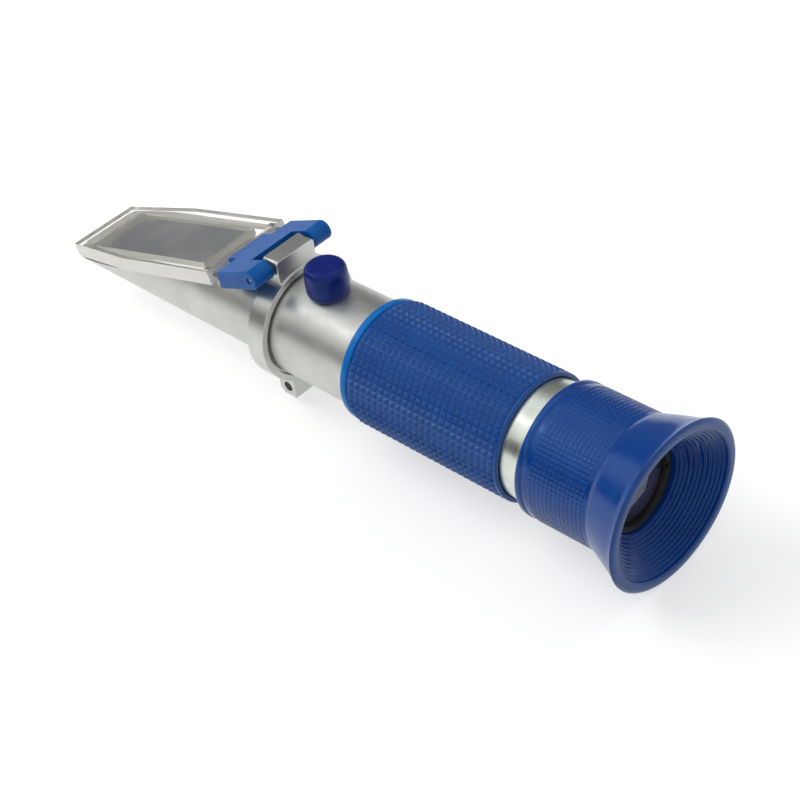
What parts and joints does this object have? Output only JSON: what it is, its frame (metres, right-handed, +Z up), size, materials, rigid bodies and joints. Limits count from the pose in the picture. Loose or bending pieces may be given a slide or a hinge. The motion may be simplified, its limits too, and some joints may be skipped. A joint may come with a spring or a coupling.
{
  "type": "refractometer",
  "caption": "Handheld refractometer with a hinged clear cover over a sloping prism, a rubber grip, a capped calibration screw and a focusing eyepiece with a flared eyecup.",
  "frame": {"origin": "middle of the base of the box around the whole object, under the barrel", "axes": "+X along the barrel from the prism towards the eyepiece, +Z up through the hinge block and the calibration cap, +Y across, away from the camera"},
  "size_m": [0.1756, 0.0388, 0.0389],
  "materials": {
    "barrel_metal": "satin anodised",
    "housing_metal": "satin anodised",
    "collar_metal": "fine turned",
    "silver_metal": "satin turned",
    "black_metal": "matt black anodised",
    "steel": "plain",
    "brass": "plain",
    "clear_plastic": "clear polished",
    "bracket_plastic": "smooth",
    "band_plastic": "smooth",
    "grip_rubber": "pyramid texture",
    "eyecup_rubber": "fine knurl and smooth flare",
    "cap_rubber": "smooth",
    "seal_rubber": "smooth",
    "prism_glass": "polished",
    "lens_glass": "coated",
    "scale_glass": "bare, no scale"
  },
  "bodies": {
    "barrel": {"barrel_tube": "barrel_metal", "prism_housing": "housing_metal", "measuring_prism": "prism_glass", "housing_seal": "seal_rubber", "clamp_collar": "collar_metal", "clamp_screw": "steel", "hinge_pin": "steel", "grip_band": "band_plastic", "grip_sleeve": "grip_rubber", "calibration_bush": "brass", "screw_clip": "steel", "spring_washer": "steel", "light_baffle": "black_metal", "reticle_cell": "black_metal", "reticle_disc": "scale_glass", "reticle_ring": "black_metal", "eyepiece_tube": "silver_metal", "guide_key": "steel"},
    "cover": {"cover_plate": "clear_plastic", "cover_screws": "steel", "hinge_bracket": "bracket_plastic"},
    "calibration_screw": {"calibration_screw": "brass"},
    "screw_cap": {"screw_cap": "cap_rubber"},
    "objective_carrier": {"temperature_strip": "steel", "adjuster_nut": "brass", "objective_cell": "black_metal", "objective_lens": "lens_glass", "objective_ring": "black_metal", "strip_screws": "steel"},
    "eyepiece_cell": {"lens_cell": "black_metal", "field_lens": "lens_glass", "field_lens_ring": "black_metal", "lens_spacer": "black_metal", "eye_lens": "lens_glass", "eye_lens_ring": "black_metal"},
    "focus_sleeve": {"focus_ring": "silver_metal", "stop_ring": "black_metal", "eyecup_sleeve": "eyecup_rubber"}
  },
  "joints": [
    {"name": "cover_hinge", "type": "hinge", "parent": "barrel", "child": "cover", "pos_m": [-0.0169, 0, 0.0366], "axis": [0, 1, 0], "range_deg": [0, 120]},
    {"name": "focus_slide", "type": "slide", "parent": "barrel", "child": "eyepiece_cell", "axis": [1, 0, 0], "range_m": [-0.0025, 0.0025]},
    {"name": "focus_turn", "type": "hinge", "parent": "eyepiece_cell", "child": "focus_sleeve", "pos_m": [0.0685, 0, 0.0194], "axis": [1, 0, 0], "range_deg": [-150.1, 150.1]},
    {"name": "calibration_turn", "type": "hinge", "parent": "barrel", "child": "calibration_screw", "pos_m": [-0.0049, 0, 0.0325], "axis": [0, 0, 1], "range_deg": [-180.1, 180.1]},
    {"name": "calibration_shift", "type": "slide", "parent": "barrel", "child": "objective_carrier", "axis": [0, 0, 1], "range_m": [-0.00025, 0.00025], "deforming": ["spring_washer"]},
    {"name": "cap_pull", "type": "slide", "parent": "barrel", "child": "screw_cap", "axis": [0, 0, 1], "range_m": [0, 0.012]}
  ],
  "couplings": [
    {"joint": "focus_turn", "follows": "focus_slide", "rad_per_m": 1047.2},
    {"joint": "calibration_turn", "follows": "calibration_shift", "rad_per_m": 12566}
  ]
}
